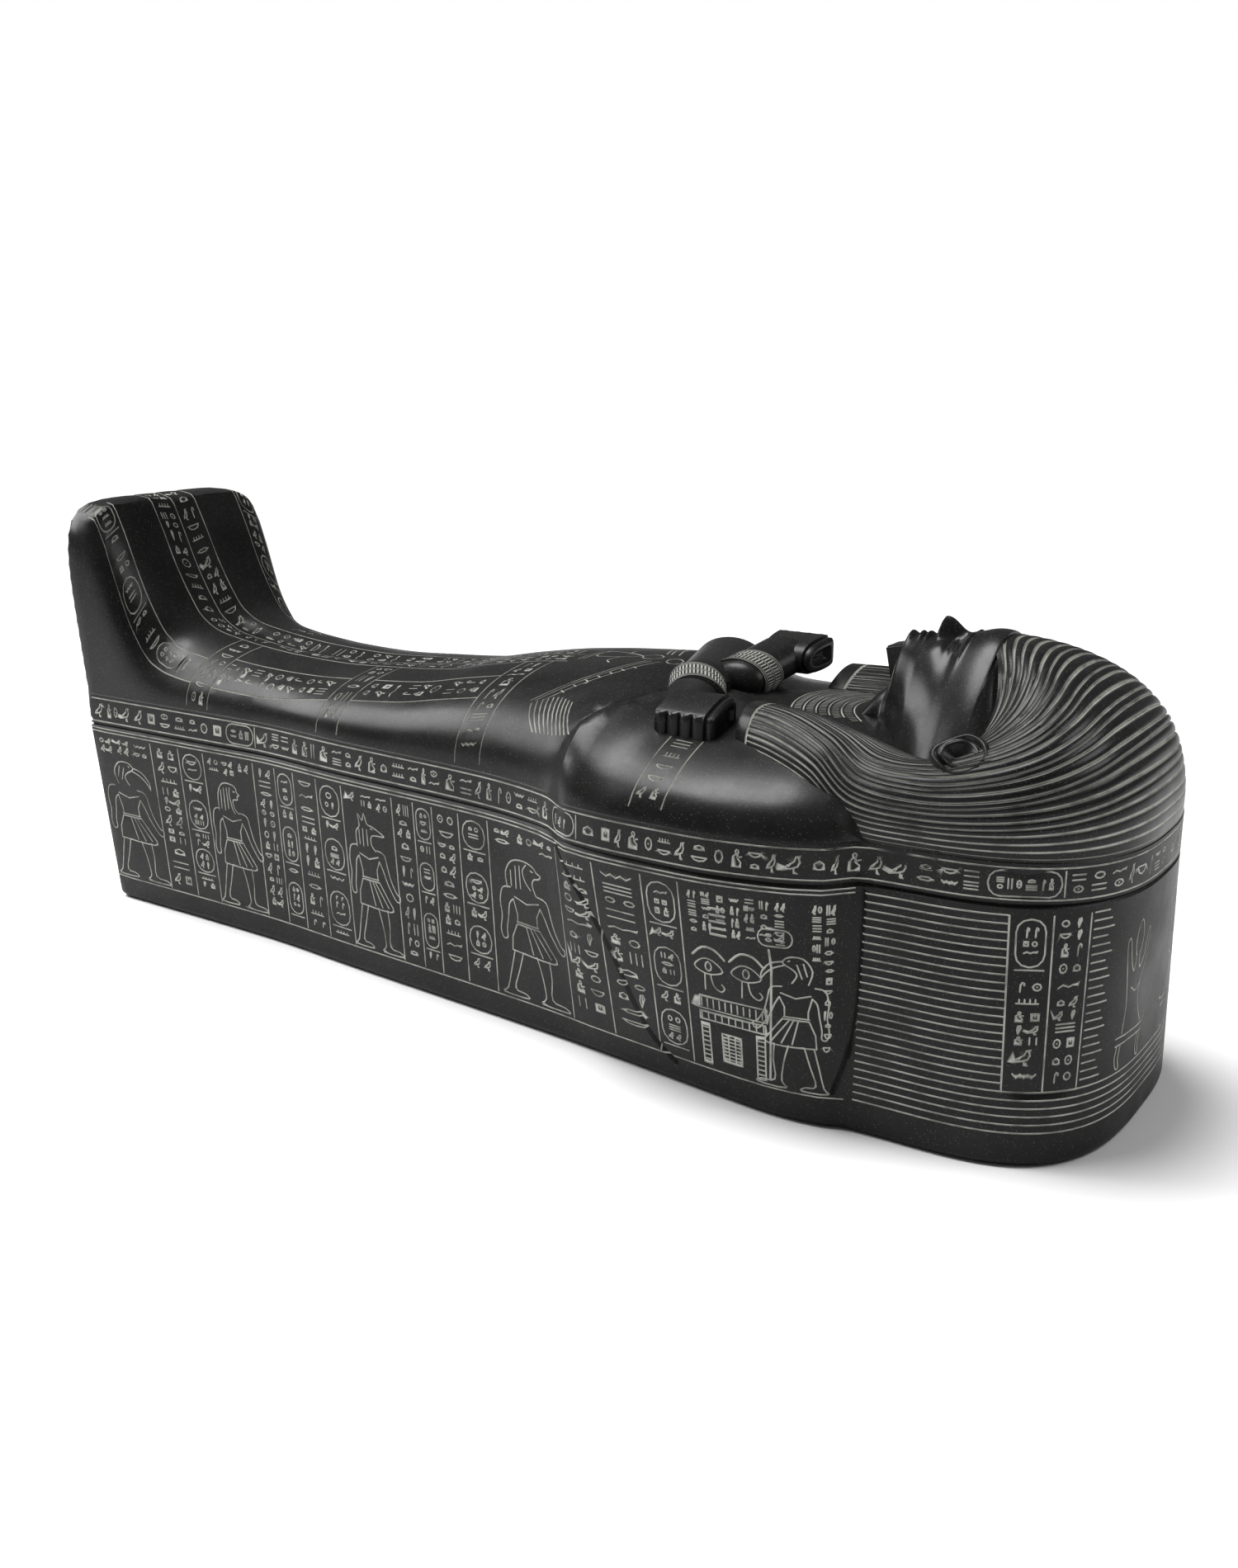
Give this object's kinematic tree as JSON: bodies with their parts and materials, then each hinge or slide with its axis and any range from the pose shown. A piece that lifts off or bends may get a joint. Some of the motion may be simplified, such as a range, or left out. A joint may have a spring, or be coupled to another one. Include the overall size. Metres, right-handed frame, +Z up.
{
  "type": "stone sarcophagus",
  "caption": "Mummy-shaped black granite sarcophagus: hollow trough under a hollow carved lid with a head, wig, crossed hands and raised feet.",
  "frame": {"origin": "on the floor, under the middle of the object's length and width", "axes": "+X from the feet to the head, +Y to the figure's right side, +Z up"},
  "size_m": [2.22, 0.814, 0.8594],
  "materials": {
    "granite": "polished black granite with pale chalky deposit in the cut lines"
  },
  "bodies": {
    "root": {"coffin_trough": "granite", "coffin_lid": "granite"}
  },
  "joints": []
}
